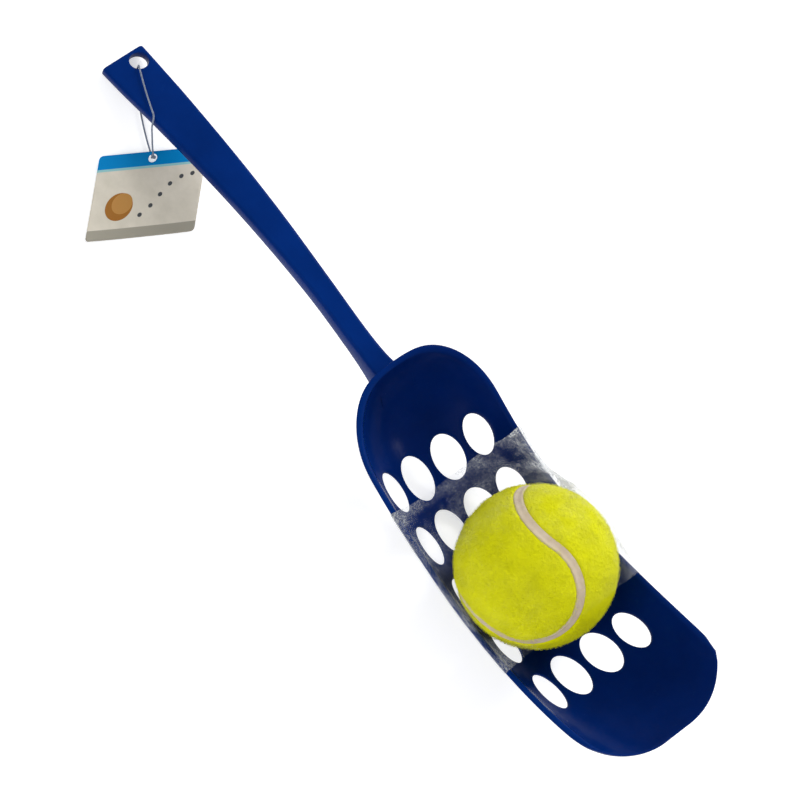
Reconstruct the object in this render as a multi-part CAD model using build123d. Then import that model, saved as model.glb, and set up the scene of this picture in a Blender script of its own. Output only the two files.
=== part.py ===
"""Dog tennis ball launcher: moulded scoop and handle, felt ball, clear film and a hang tag.

Millimetres. X runs from the handle's end to the scoop's tip, Y is across and Z is up from the table.
Shapes are drawn with x = 0 at the scoop's lowest point, and moved by X_SHIFT on export so that the
launcher's length is centred on the origin.
"""

import os
from math import asin, cos, pi, radians, sin, sqrt, tan

from build123d import *

os.makedirs("parts", exist_ok=True)

# Tennis ball: two rubber half shells, two felt panels and the seam between them.
BALL_R = 32.0
FELT = 2.8
GLUE = 0.3
RUBBER = 3.3
SEAM_HALF = 1.3
SEAM_GAP = 0.1
SEAM_SUNK = 0.5
BALL_X = 10.0
BALL_REST_GAP = 0.3
BALL_TURN = (-92.7, -45.1, 110.7)

# Scoop: a trough of upright round sections along a curved floor line, wider towards the tip.
# Behind the heel's start, less ROUND_AHEAD, the sections close in a round to BACK_END_R.
WALL = 2.2
BALL_SIDE_GAP = 1.0
TROUGH_R = BALL_R + BALL_SIDE_GAP
TROUGH_TAPER = 0.031
ROUND_AHEAD = 5.4
BACK_END_R = 11.7
FLOOR_R = 113.0
BACK_R = 170.0
BACK_TURN = 20.0
HEEL_R = 39.2
FLOOR_SLOPES = (-85, -77, -69, -60, -50, -40, -30, -20, -13, -6, 0, 9, 18, 27, 36, 45, 54, 62)
SIDE_RISE = 50.0
TIP_X = 93.0
TIP_FRONT = 5.8
TIP_HALF_WIDTH = 35.8
TIP_FLARE = 6.5
RIM_LINE = [
    (-110, 50.0),
    (-88, 45.8),
    (-70, 39.2),
    (-46, 29.7),
    (-20, 23.4),
    (0, 23.1),
    (20, 26.2),
    (40, 32.4),
    (60, 41.3),
    (75, 49.5),
    (110, 66.0),
]

# Oval cut-outs, in rows along the trough, all drawn out straight up.
OVAL_ROWS = 5
OVAL_PITCH = 24.4
OVAL_MIDDLE_X = 2.9
INNER_OVAL = (19.0, 12.4, 7.8)
OUTER_OVAL = (17.2, 8.9, 21.1)

# Handle: a tapered bar, cored out from below, with a hanging hole near its end.
# Stations are (distance behind the scoop's back, middle height, width, depth), from the end.
HANDLE_STATIONS = [
    (167.5, 2.6, 19.8, 5.2),
    (154.0, 6.6, 19.2, 5.2),
    (136.0, 12.4, 17.6, 5.5),
    (104.0, 20.6, 14.6, 6.4),
    (74.0, 25.6, 12.0, 7.2),
    (42.0, 27.6, 9.5, 8.0),
    (18.0, 26.8, 8.9, 8.8),
    (6.0, 26.6, 9.2, 10.8),
    (-4.0, 27.2, 10.6, 14.0),
    (-16.0, 28.0, 12.0, 17.0),
]
HANDLE_SECTIONS = 17
HANDLE_EDGE_R = 1.2
HANDLE_END_R = 1.0
NECK = 14.0
CORE_WALL = 2.0
CORE_FAR = 126.0
CORE_NEAR = 20.0
CORE_RIB = 1.8
CORE_RIBS = 4
HANG_HOLE_BACK = 162.0
HANG_HOLE_Y = 4.2
HANG_HOLE_R = 3.9

# Clear film over the ball, with a short skirt outside each rim.
FILM = 0.35
FILM_CLEAR = 0.4
FILM_BEHIND = 49.0
FILM_AHEAD = 26.0
FILM_STATIONS = 9
FILM_SKIRT = 6.0
FILM_BACK_RISE = 4.0

# Hang tag on a loop of thread.
TAG_W = 44.2
TAG_H = 34.7
TAG_T = 0.5
TAG_LEAN = 18.2
TAG_CORNER_R = 1.5
TAG_BACK = 103.0
TAG_Y = -38.1
TAG_TURN = 62.8
TAG_LIFT = 1.6
TAG_OFF = 0.05
TAG_HOLE_R = 1.75
TAG_HOLE_UP = 31.9
THREAD_R = 0.35
THREAD_OFF = 1.1
THREAD_EDGE_R = 2.2
THREAD_WALL_GAP = 0.75
THREAD_CROSS_BACK = 136.0
THREAD_BOW = 1.2
THREAD_LIFT = 0.55
KNOT_R = 1.2

# Longer than the launcher, for cutting shapes that only have to reach past it.
REACH = 500.0


def floor_point(slope, out=0.0):
    """Point of the scoop's floor line where it has this slope in degrees, moved out by out."""
    if slope >= 0.0:
        turn = radians(slope)
        return (FLOOR_R + out) * sin(turn), WALL + FLOOR_R - (FLOOR_R + out) * cos(turn)
    turn = radians(-slope)
    if -slope <= BACK_TURN:
        return -(BACK_R + out) * sin(turn), WALL + BACK_R - (BACK_R + out) * cos(turn)
    join = radians(BACK_TURN)
    mid_x = -(BACK_R - HEEL_R) * sin(join)
    mid_z = WALL + BACK_R - (BACK_R - HEEL_R) * cos(join)
    return mid_x - (HEEL_R + out) * sin(turn), mid_z - (HEEL_R + out) * cos(turn)


ROUND_FROM = ROUND_AHEAD - BACK_R * sin(radians(BACK_TURN))
BACK_INNER_X = floor_point(FLOOR_SLOPES[0])[0]
BACK_X = floor_point(FLOOR_SLOPES[0], WALL)[0]
BACK_WIDE_R = TROUGH_R + TROUGH_TAPER * BACK_INNER_X
ROUND_LENGTH = (ROUND_FROM - BACK_INNER_X) / sqrt(1 - (BACK_END_R / BACK_WIDE_R) ** 2)


def trough_radius(x):
    """Inner radius of the trough over x: a light taper, closed in a round behind ROUND_FROM."""
    back = max(0.0, ROUND_FROM - x) / ROUND_LENGTH
    return (TROUGH_R + TROUGH_TAPER * x) * sqrt(1 - back * back)


def trough_plug(out):
    """Solid that fills the trough, grown by out on its floor and sides."""
    sections = []
    for slope in FLOOR_SLOPES:
        x, z = floor_point(slope, out)
        radius = trough_radius(floor_point(slope)[0]) + out
        middle = z + radius
        top = middle + SIDE_RISE
        outline = Wire(
            [
                ThreePointArc((x, -radius, middle), (x, 0, z), (x, radius, middle)),
                Line((x, radius, middle), (x, radius, top)),
                Line((x, radius, top), (x, -radius, top)),
                Line((x, -radius, top), (x, -radius, middle)),
            ]
        )
        sections.append(Face(outline))
    return loft(sections)


def floor_height(x):
    """Height of the outer floor line over x."""
    if x >= 0.0:
        return WALL + FLOOR_R - sqrt((FLOOR_R + WALL) ** 2 - x * x)
    return WALL + BACK_R - sqrt((BACK_R + WALL) ** 2 - x * x)


RIM_CURVE = Spline(*[(x, 0, z) for x, z in RIM_LINE])


def rim_height(x):
    line = Line((x, 0, -REACH), (x, 0, REACH))
    return RIM_CURVE.distance_to_with_closest_points(line)[1].Z


def rim_half_width(x):
    """Outer half width of the scoop where its rim passes over x."""
    radius = trough_radius(x) + WALL
    below = floor_height(x) + radius - rim_height(x)
    return sqrt(radius * radius - below * below)


def below_rim():
    first, last = RIM_LINE[0], RIM_LINE[-1]
    outline = Wire(
        [
            RIM_CURVE,
            Line((last[0], 0, last[1]), (last[0], 0, -REACH)),
            Line((last[0], 0, -REACH), (-REACH, 0, -REACH)),
            Line((-REACH, 0, -REACH), (-REACH, 0, first[1])),
            Line((-REACH, 0, first[1]), (first[0], 0, first[1])),
        ]
    )
    return extrude(Face(outline), amount=REACH, dir=(0, 1, 0), both=True)


def inside_tip():
    """Space inside the tip's round corners, widening towards the handle."""
    corner_r = TIP_HALF_WIDTH - TIP_FRONT
    side_x = TIP_X - corner_r
    turn = corner_r * sin(radians(45))
    wide = TIP_HALF_WIDTH + REACH * sin(radians(TIP_FLARE))
    outline = Wire(
        [
            Line((TIP_X, -TIP_FRONT), (TIP_X, TIP_FRONT)),
            ThreePointArc((TIP_X, TIP_FRONT), (side_x + turn, TIP_FRONT + turn), (side_x, TIP_HALF_WIDTH)),
            Line((side_x, TIP_HALF_WIDTH), (side_x - REACH, wide)),
            Line((side_x - REACH, wide), (side_x - REACH, -wide)),
            Line((side_x - REACH, -wide), (side_x, -TIP_HALF_WIDTH)),
            ThreePointArc((side_x, -TIP_HALF_WIDTH), (side_x + turn, -TIP_FRONT - turn), (TIP_X, -TIP_FRONT)),
        ]
    )
    return extrude(Face(outline), amount=REACH, both=True)


def ovals():
    cuts = []
    for row in range(OVAL_ROWS):
        x = OVAL_MIDDLE_X + OVAL_PITCH * (row - (OVAL_ROWS - 1) / 2)
        for length, width, side in (INNER_OVAL, OUTER_OVAL):
            for y in (-side, side):
                cuts.append(extrude(Pos(x, y) * Ellipse(length / 2, width / 2), amount=REACH, both=True))
    return cuts


def handle_at(x):
    """Middle height, width and depth of the handle over x, by a smooth curve through its stations."""
    stations = [(BACK_X - back, *sizes) for back, *sizes in HANDLE_STATIONS]
    last = len(stations) - 1
    first = next((i for i in range(last) if x <= stations[i + 1][0]), last - 1)
    (x0, *from_), (x1, *to) = stations[first], stations[first + 1]
    before, after = stations[max(first - 1, 0)], stations[min(first + 2, last)]
    step = x1 - x0
    part = (x - x0) / step
    found = []
    for a, b, a0, b1 in zip(from_, to, before[1:], after[1:]):
        rise_a = (b - a0) / (x1 - before[0]) * step
        rise_b = (b1 - a) / (after[0] - x0) * step
        bend_a = rise_a - (b - a)
        bend_b = (b - a) - rise_b
        found.append(a + part * (b - a) + part * (1 - part) * ((1 - part) * bend_a + part * bend_b))
    return found


def handle_top(x):
    z, _, depth = handle_at(x)
    return z + depth / 2


HANDLE_END_X = BACK_X - HANDLE_STATIONS[0][0]
NECK_X = BACK_X - NECK
HANG_HOLE_X = BACK_X - HANG_HOLE_BACK
X_SHIFT = -(TIP_X + HANDLE_END_X) / 2


def handle_bar():
    span = HANDLE_STATIONS[0][0] - HANDLE_STATIONS[-1][0]
    sections = []
    for number in range(HANDLE_SECTIONS):
        x = HANDLE_END_X + span * number / (HANDLE_SECTIONS - 1)
        z, width, depth = handle_at(x)
        sections.append(Plane.YZ.offset(x) * Pos(0, z) * RectangleRounded(width, depth, HANDLE_EDGE_R))
    return loft(sections)


def handle_core():
    """Hollow under the handle, with its cross ribs left standing."""
    start = BACK_X - CORE_FAR
    span = CORE_FAR - CORE_NEAR
    sections = []
    for number in range(HANDLE_SECTIONS):
        x = start + span * number / (HANDLE_SECTIONS - 1)
        z, width, depth = handle_at(x)
        low = z - depth
        high = z + depth / 2 - CORE_WALL
        box = Rectangle(width - 2 * CORE_WALL, high - low)
        sections.append(Plane.YZ.offset(x) * Pos(0, (low + high) / 2) * box)
    hollow = loft(sections)
    for number in range(1, CORE_RIBS + 1):
        x = start + span * number / (CORE_RIBS + 1)
        hollow = hollow - Pos(x, 0, 0) * Box(CORE_RIB, REACH, REACH)
    return hollow


def make_launcher():
    bar = handle_bar()
    neck = bar & Pos(NECK_X + REACH / 2, 0, 0) * Box(REACH, REACH, REACH)
    grip = bar & Pos(NECK_X - REACH / 2, 0, 0) * Box(REACH, REACH, REACH)
    end = RectangleRounded(REACH, HANDLE_STATIONS[0][2], HANDLE_END_R)
    grip = grip & extrude(Pos(HANDLE_END_X + REACH / 2, 0) * end, amount=REACH, both=True)
    grip = grip - handle_core()
    grip = grip - Pos(HANG_HOLE_X, HANG_HOLE_Y, 0) * Cylinder(HANG_HOLE_R, REACH)
    shell = trough_plug(WALL) + neck - trough_plug(0.0)
    scoop = shell & below_rim() & inside_tip()
    return scoop - ovals(), grip


def ball_middle():
    reach = FLOOR_R - BALL_R - BALL_REST_GAP
    return BALL_X, WALL + FLOOR_R - sqrt(reach * reach - BALL_X * BALL_X)


def place_ball(solid):
    x, z = ball_middle()
    turned = solid.rotate(Axis.X, BALL_TURN[0]).rotate(Axis.Y, BALL_TURN[1]).rotate(Axis.Z, BALL_TURN[2])
    return Pos(x, 0, z) * turned


def slab(axis, low, high, upper):
    """Box between two planes across X or Y, over one half of the ball."""
    size = 2 * BALL_R + 10
    z = size / 2 if upper else -size / 2
    middle = (low + high) / 2
    if axis == "X":
        return Pos(middle, 0, z) * Box(high - low, size, size)
    return Pos(0, middle, z) * Box(size, high - low, size)


def make_ball():
    core_out = BALL_R - FELT - GLUE
    core = Sphere(core_out) - Sphere(core_out - RUBBER)
    half = 2 * BALL_R
    core_top = core & Pos(0, 0, half / 2) * Box(half, half, half)
    core_bottom = core & Pos(0, 0, -half / 2) * Box(half, half, half)
    felt = Sphere(BALL_R) - Sphere(BALL_R - FELT)
    seam = Sphere(BALL_R - SEAM_SUNK) - Sphere(BALL_R - FELT)
    line = BALL_R / sqrt(2)
    inner = line - SEAM_HALF - SEAM_GAP
    outer = line + SEAM_HALF + SEAM_GAP
    edge = BALL_R + 5
    panel_a = felt & (
        slab("X", -inner, inner, True) + slab("Y", outer, edge, False) + slab("Y", -edge, -outer, False)
    )
    panel_b = felt & (
        slab("Y", -inner, inner, False) + slab("X", outer, edge, True) + slab("X", -edge, -outer, True)
    )
    inner = line - SEAM_HALF
    outer = line + SEAM_HALF
    strips = (
        slab("X", inner, outer, True)
        + slab("X", -outer, -inner, True)
        + slab("Y", inner, outer, False)
        + slab("Y", -outer, -inner, False)
    )
    return [place_ball(part) for part in (core_top, core_bottom, panel_a, panel_b, seam & strips)]


def film_top(x):
    """Height of the film's crest over x: straight from its back edge, then round the ball."""
    ball_x, ball_z = ball_middle()
    reach = BALL_R + FILM_CLEAR + FILM
    back_x = ball_x - FILM_BEHIND
    back_z = rim_height(back_x) + FILM_BACK_RISE
    away = sqrt((ball_x - back_x) ** 2 + (ball_z - back_z) ** 2)
    rise = asin((ball_z - back_z) / away) + asin(reach / away)
    touch = back_x + sqrt(away * away - reach * reach) * cos(rise)
    if x <= touch:
        return back_z + (x - back_x) * sin(rise) / cos(rise)
    return ball_z + sqrt(reach * reach - (x - ball_x) ** 2)


def film_form(inset):
    sections = []
    for number in range(FILM_STATIONS):
        x = BALL_X - FILM_BEHIND + (FILM_BEHIND + FILM_AHEAD) * number / (FILM_STATIONS - 1)
        side = rim_half_width(x) + FILM_CLEAR + FILM - inset
        low = rim_height(x) + FILM_CLEAR + FILM - inset
        foot = rim_height(x) - FILM_SKIRT - 4 * inset
        top = film_top(x) - inset
        outline = Wire(
            [
                Line((x, -side, foot), (x, -side, low)),
                ThreePointArc((x, -side, low), (x, 0, top), (x, side, low)),
                Line((x, side, low), (x, side, foot)),
                Line((x, side, foot), (x, -side, foot)),
            ]
        )
        sections.append(Face(outline))
    return loft(sections)


def make_film():
    return film_form(0.0) - film_form(FILM)


def tag_plane():
    """Plane of the tag's underside: X along its foot, Y up the card, tilted so that its top is lifted."""
    turn = radians(TAG_TURN)
    tilt = asin(TAG_LIFT / TAG_H)
    across = Vector(cos(turn), sin(turn), 0)
    up = Vector(-sin(turn) * cos(tilt), cos(turn) * cos(tilt), sin(tilt))
    return Plane(origin=(BACK_X - TAG_BACK, TAG_Y, TAG_OFF), x_dir=across, z_dir=across.cross(up))


def lean(height):
    return height * sin(radians(TAG_LEAN)) / cos(radians(TAG_LEAN))


def make_tag():
    half = TAG_W / 2
    top = lean(TAG_H)
    outline = Polygon(
        (-half, 0), (half, 0), (half + top, TAG_H), (-half + top, TAG_H), align=None
    )
    outline = fillet(outline.vertices(), TAG_CORNER_R)
    outline = outline - Pos(lean(TAG_HOLE_UP), TAG_HOLE_UP) * Circle(TAG_HOLE_R)
    return extrude(tag_plane() * outline, amount=TAG_T)


def between(start, end, part, bow):
    """Plan position part of the way from start to end, bowed out sideways."""
    run = end - start
    side = Vector(-run.Y, run.X) / run.length * bow * sin(pi * part)
    return start + run * part + side


def thread_route():
    """Points of the thread's loop, from the knot over the handle, down its hole and back to the tag."""
    hole = tag_plane().from_local_coords(Vector(lean(TAG_HOLE_UP), TAG_HOLE_UP, 0))
    knot = hole + Vector(0, 0, TAG_T + KNOT_R)
    off_axis = (HANG_HOLE_R - THREAD_WALL_GAP - THREAD_R) * sin(radians(45))
    down = Vector(HANG_HOLE_X + off_axis, HANG_HOLE_Y - off_axis)
    cross_x = BACK_X - THREAD_CROSS_BACK
    edge = Vector(cross_x, -handle_at(cross_x)[1] / 2, handle_top(cross_x))
    outside = edge + Vector(1.0, -1.9, -1.0) * THREAD_OFF
    inside = edge + Vector(-1.1, 0.7, 1.6) * THREAD_OFF
    rise = outside - knot
    over = [knot, knot + rise * 0.36 + Vector(0, 0, -THREAD_OFF), knot + rise * 0.7 + Vector(0, 0, -THREAD_R)]
    over += [outside, inside]
    for part in (0.17, 0.4, 0.62, 0.82):
        place = between(Vector(inside.X, inside.Y), down, part, -THREAD_BOW)
        over.append(Vector(place.X, place.Y, handle_top(place.X) + THREAD_OFF))
    over.append(Vector(down.X, down.Y, handle_top(down.X) + THREAD_OFF))
    under = [Vector(down.X, down.Y, THREAD_LIFT)]
    below = Vector(hole.X, hole.Y)
    for part in (0.23, 0.47, 0.72, 0.95):
        place = between(down, below, part, -THREAD_BOW)
        under.append(Vector(place.X, place.Y, THREAD_LIFT))
    return over + under + [hole + Vector(0, 0, TAG_T + KNOT_R / 2)], len(over)


def bend_radii(points):
    """Radius of the largest arc that each corner's two runs allow, in order."""
    radii = []
    for before, here, after in zip(points, points[1:], points[2:]):
        turn = (here - before).get_angle(after - here)
        shorter = min((here - before).length, (after - here).length)
        radii.append(0.45 * shorter / tan(radians(turn / 2)))
    return radii


def make_thread():
    points, turn_at = thread_route()
    radii = bend_radii(points)
    for corner in (turn_at - 2, turn_at - 1):
        radii[corner] = min(radii[corner], THREAD_EDGE_R)
    path = FilletPolyline(*points, radius=radii)
    ring = Plane(origin=path @ 0, z_dir=path % 0) * Circle(THREAD_R)
    strand = sweep(ring, path=path)
    print("thread length", round(path.length, 1), "bends", [round(r, 1) for r in radii])
    print("thread volume over section times length", round(strand.volume / (pi * THREAD_R**2 * path.length), 4))
    knot = points[0]
    return strand + Pos(knot.X, knot.Y, knot.Z) * Sphere(KNOT_R)


def export(name, part):
    solids = part.solids()
    shape = solids[0] if len(solids) == 1 else Compound(children=list(solids))
    export_step(Pos(X_SHIFT, 0, 0) * shape, "parts/" + name + ".step")
    box = shape.bounding_box()
    print(name, len(solids), "solid", round(sum(s.volume for s in solids) / 1000, 3), "cm3",
          [round(v, 1) for v in (*box.min, *box.max)])


scoop, handle = make_launcher()
export("scoop", scoop)
export("handle", handle)
names = ("ball_core_top", "ball_core_bottom", "ball_felt_a", "ball_felt_b", "ball_seam")
for name, part in zip(names, make_ball()):
    export(name, part)
export("film", make_film())
export("tag_card", make_tag())
export("tag_thread", make_thread())
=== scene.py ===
import bmesh
import bpy
import numpy as np
from mathutils import Euler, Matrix
from mathutils.geometry import delaunay_2d_cdt


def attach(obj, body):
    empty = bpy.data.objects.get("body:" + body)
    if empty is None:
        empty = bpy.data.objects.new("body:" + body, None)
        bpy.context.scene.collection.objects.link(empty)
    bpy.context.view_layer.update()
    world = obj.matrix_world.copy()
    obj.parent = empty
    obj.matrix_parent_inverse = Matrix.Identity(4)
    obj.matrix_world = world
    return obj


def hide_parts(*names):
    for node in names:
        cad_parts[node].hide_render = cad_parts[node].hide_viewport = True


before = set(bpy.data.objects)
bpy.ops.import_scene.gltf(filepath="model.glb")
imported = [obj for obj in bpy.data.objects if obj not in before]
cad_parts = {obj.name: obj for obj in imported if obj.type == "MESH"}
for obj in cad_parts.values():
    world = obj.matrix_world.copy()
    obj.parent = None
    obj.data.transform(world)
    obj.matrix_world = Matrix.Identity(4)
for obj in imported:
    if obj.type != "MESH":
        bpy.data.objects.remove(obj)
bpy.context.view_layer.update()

# Scoop. A trough of blue polypropylene, injection moulded in one with the handle and drawn straight up
# out of its mould. Its wall is 2.2 mm thick, five rows of four ovals are shut out of floor and sides,
# and every free edge is rounded.
X_SHIFT = 80.239
WALL = 2.2
EDGE_ROUND = 0.75
FLOOR_R = 113.0
BACK_R = 170.0
BACK_TURN = 20.0
HEEL_R = 39.2
HEEL_END = 85.0
TROUGH_R = 33.0
TROUGH_TAPER = 0.031
BACK_END_R = 11.7
ROUND_FROM = 5.4 - BACK_R * np.sin(np.radians(BACK_TURN))
TIP_X = 93.0
TIP_FRONT = 5.8
TIP_HALF_WIDTH = 35.8
TIP_CORNER_R = TIP_HALF_WIDTH - TIP_FRONT
TIP_FLARE = np.sin(np.radians(6.5))
RIM_X = np.array([-110, -88, -70, -46, -20, 0, 20, 40, 60, 75, 110.0])
RIM_Z = np.array([50, 45.8, 39.2, 29.7, 23.4, 23.1, 26.2, 32.4, 41.3, 49.5, 66.0])
OVAL_X = 2.9 + 24.4 * np.arange(-2, 3)
OVALS = ((19.0, 12.4, 7.8), (19.0, 12.4, -7.8), (17.2, 8.9, 21.1), (17.2, 8.9, -21.1))
SHEET_STEP = 1.25
ROW_STEP = 0.866 * SHEET_STEP
SHEET_RUN = (-104.0, 112.0)
SHEET_HALF = 52.0
EDGE_GAP = 0.75 * SHEET_STEP
OVAL_GAP = 0.7
RIM_STEPS = 230
TIP_STEPS = 11
OVAL_STEPS = 56
EDGE_ROWS = 7
FRONT_SLOPE = 70.0
SLOPES = np.array([-HEEL_END, -BACK_TURN, 0.0, FRONT_SLOPE])
HEEL_RUN = (HEEL_END - BACK_TURN) * HEEL_R
FLOOR_RUN = np.radians([-BACK_TURN * BACK_R - HEEL_RUN, -BACK_TURN * BACK_R, 0.0, FRONT_SLOPE * FLOOR_R])


def floor_line(slope, out):
    """Floor line by its slope in degrees, grown by out: an arc of FLOOR_R ahead of the lowest point, one of
    BACK_R behind it and one of HEEL_R up the back, each sharing its tangent with the next."""
    turn = np.radians(slope)
    radius = np.where(slope >= 0, FLOOR_R, np.where(slope >= -BACK_TURN, BACK_R, HEEL_R))
    join = np.radians(BACK_TURN)
    heel = slope < -BACK_TURN
    middle_x = np.where(heel, -(BACK_R - HEEL_R) * np.sin(join), 0.0)
    middle_z = WALL + np.where(heel, BACK_R - (BACK_R - HEEL_R) * np.cos(join), radius)
    return middle_x + (radius + out) * np.sin(turn), middle_z - (radius + out) * np.cos(turn)


BACK_INNER_X = float(floor_line(np.array(-HEEL_END), 0.0)[0])
BACK_X = float(floor_line(np.array(-HEEL_END), WALL)[0])
BACK_WIDE_R = TROUGH_R + TROUGH_TAPER * BACK_INNER_X
ROUND_LENGTH = (ROUND_FROM - BACK_INNER_X) / np.sqrt(1 - (BACK_END_R / BACK_WIDE_R) ** 2)


def trough_radius(x):
    """Inner radius over x: a light taper, times an ellipse's quarter that closes it behind ROUND_FROM."""
    back = np.clip((ROUND_FROM - x) / ROUND_LENGTH, 0.0, 1.0)
    return (TROUGH_R + TROUGH_TAPER * x) * np.sqrt(1 - back * back)


def trough(slope, side, out):
    """Point of the wall: the floor line's point, and from it an upright arc of the trough's radius turned
    by the angle side. out moves it from the inner face to the outer one."""
    x, z = floor_line(slope, out)
    radius = trough_radius(floor_line(slope, 0.0)[0]) + out
    return np.stack([x, radius * np.sin(side), z + radius * (1 - np.cos(side))], -1)


def rim_height(x):
    """Height of the rim over x: the natural cubic spline through the rim's points."""
    step = np.diff(RIM_X)
    inner = np.arange(1, len(RIM_X) - 1)
    system = np.eye(len(RIM_X))
    system[inner, inner - 1] = step[:-1]
    system[inner, inner] = 2 * (step[:-1] + step[1:])
    system[inner, inner + 1] = step[1:]
    load = np.zeros(len(RIM_X))
    load[inner] = 6 * np.diff(np.diff(RIM_Z) / step)
    bend = np.linalg.solve(system, load)
    first = np.clip(np.searchsorted(RIM_X, x) - 1, 0, len(step) - 1)
    width = step[first]
    a = (RIM_X[first + 1] - x) / width
    b = 1 - a
    curved = (a**3 - a) * bend[first] + (b**3 - b) * bend[first + 1]
    return a * RIM_Z[first] + b * RIM_Z[first + 1] + curved * width * width / 6


def edge_side(slope, out, inset):
    """Side angle at which the wall ends: where its arc meets the rim, or the tip's outline if that is
    nearer. inset pulls both back from the true edge."""
    x, z = floor_line(slope, out)
    radius = trough_radius(floor_line(slope, 0.0)[0]) + out
    at_rim = np.arccos(np.clip(1 - (rim_height(x) - inset - z) / radius, -1, 1))
    side_x = TIP_X - TIP_CORNER_R
    corner = np.sqrt(np.clip((TIP_CORNER_R - inset) ** 2 - np.clip(x - side_x, 0, None) ** 2, 0, None))
    half = TIP_FRONT + corner + np.clip(side_x - x, 0, None) * TIP_FLARE
    return np.minimum(at_rim, np.arcsin(np.clip(half / radius, 0, 1)))


def scoop_edge(out, inset):
    """Slope and side of the whole free edge, once round: from the back's middle, where the rim meets the
    floor line, along one rim to the tip, across it and back along the other rim."""
    steep = np.linspace(-HEEL_END, -30, 800)
    x, z = floor_line(steep, out)
    back = np.interp(0.0, rim_height(x) - inset - z, steep)
    front = np.degrees(np.arcsin((TIP_X - inset) / (FLOOR_R + out)))
    slope = back + (front - back) * (1 - np.cos(np.linspace(0, np.pi, RIM_STEPS))) / 2
    side = edge_side(slope, out, inset)
    across = np.linspace(1, -1, TIP_STEPS)[1:-1] * side[-1]
    slopes = np.concatenate([slope, np.full(len(across), front), slope[:0:-1]])
    return slopes, np.concatenate([side, across, -side[:0:-1]])


def oval_edge(middle, oval, out, inset):
    """Slope and side of a cut-out's edge: an ellipse in plan, grown by inset, carried up onto the wall."""
    length, width, offset = oval
    turn = np.linspace(0, 2 * np.pi, OVAL_STEPS, endpoint=False)
    x = middle + (length / 2 + inset) * np.cos(turn)
    y = offset + (width / 2 + inset) * np.sin(turn)
    slope = np.degrees(np.arcsin(x / np.where(x >= 0, FLOOR_R + out, BACK_R + out)))
    return slope, np.arcsin(y / (trough_radius(floor_line(slope, 0.0)[0]) + out))


def scoop_edges(out, inset):
    """Every edge of the wall: the free edge, and after it each cut-out's."""
    holes = [oval_edge(middle, oval, out, inset) for middle in OVAL_X for oval in OVALS]
    return [scoop_edge(out, inset)] + holes


def scoop_inside(out):
    """Slope and side of the points between the edges: a staggered grid over the unrolled wall, without what
    lies within a step of an edge."""
    rows = np.arange(-SHEET_HALF, SHEET_HALF, ROW_STEP)
    run, wide = np.meshgrid(np.arange(*SHEET_RUN, SHEET_STEP), rows)
    run[::2] += SHEET_STEP / 2
    slope = np.interp(run, FLOOR_RUN, SLOPES)
    side = wide / TROUGH_R
    point = trough(slope, side, out)
    keep = np.abs(side) < edge_side(slope, out, EDGE_ROUND) - EDGE_GAP / TROUGH_R
    keep &= point[..., 0] < TIP_X - EDGE_ROUND - EDGE_GAP
    for middle in OVAL_X:
        for length, width, offset in OVALS:
            along = (point[..., 0] - middle) / (length / 2 + EDGE_ROUND + OVAL_GAP)
            across = (point[..., 1] - offset) / (width / 2 + EDGE_ROUND + OVAL_GAP)
            keep &= along**2 + across**2 > 1
    return slope[keep], side[keep]


def triangulated(loops, inside):
    """Triangles over closed loops and the points inside the first: a constrained Delaunay triangulation of
    the plane, without the triangles that fill the other loops, which are holes."""
    counts = [len(loop) for loop in loops]
    starts = np.cumsum([0] + counts[:-1])
    edges = [np.stack([np.arange(n), np.roll(np.arange(n), -1)], 1) + s for n, s in zip(counts, starts)]
    points = np.concatenate(loops + [inside])
    found = delaunay_2d_cdt(points.tolist(), np.concatenate(edges).tolist(), [], 1, 1e-7)
    faces = np.array(found[2])
    owner = np.concatenate([np.repeat(np.arange(len(loops)), counts), np.full(len(inside), -1)])[faces]
    hole = (owner[:, 0] > 0) & (owner[:, 0] == owner[:, 1]) & (owner[:, 1] == owner[:, 2])
    return faces[~hole]


def numbered(rows, columns, first=0):
    """Point numbers of a grid, counted on from first along each row."""
    return first + np.arange(rows * columns).reshape(rows, columns)


def quads_of(ids, closed):
    """Faces of a grid of point numbers, row by row, joined round at the ends if closed."""
    after = np.roll(ids, -1, 1)
    faces = np.stack([ids[:-1], after[:-1], after[1:], ids[1:]], -1)
    if not closed:
        faces = faces[:, :-1]
    return faces.reshape(-1, 4)


def wall_between(upper, lower, edges, upper_faces, lower_faces, rows):
    """Closed shell: two faces whose points begin with the same edge loops, and along each loop a half round
    from one face over the true edge to the other: middle + half thickness cos + reach sin."""
    points = [upper, lower]
    faces = [upper_faces, lower_faces[:, ::-1] + len(upper)]
    made = len(upper) + len(lower)
    start = 0
    turn = np.linspace(0, np.pi, rows + 2)[1:-1, None, None]
    for edge in edges:
        count = len(edge)
        own = start + np.arange(count)
        middle = (upper[own] + lower[own]) / 2
        half = (upper[own] - lower[own]) / 2
        points.append((middle + half * np.cos(turn) + (edge - middle) * np.sin(turn)).reshape(-1, 3))
        faces.append(quads_of(np.vstack([own, numbered(rows, count, made), own + len(upper)]), closed=True))
        made += rows * count
        start += count
    return np.concatenate(points), faces


def new_piece(name, points, faces, solid, painted_light_and_haze=None):
    """Smooth mesh object at the origin from points in mm, with doubles merged and, on a closed shell, its
    faces turned outwards. The value per point given last is kept on the mesh for its material: painted shade
    on the scoop, haze that is partly painted glare on the film."""
    mesh = bpy.data.meshes.new(name)
    rows = [face for block in faces for face in block.tolist()]
    mesh.from_pydata((points * 0.001).tolist(), [], rows)
    if painted_light_and_haze is not None:
        mesh.attributes.new("painted_light_and_haze", "FLOAT", "POINT").data.foreach_set("value", painted_light_and_haze.ravel())
    work = bmesh.new()
    work.from_mesh(mesh)
    bmesh.ops.remove_doubles(work, verts=work.verts, dist=1e-6)
    if solid:
        bmesh.ops.recalc_face_normals(work, faces=work.faces)
    work.to_mesh(mesh)
    work.free()
    mesh.shade_smooth()
    piece = bpy.data.objects.new(name, mesh)
    bpy.context.collection.objects.link(piece)
    return piece


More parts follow.
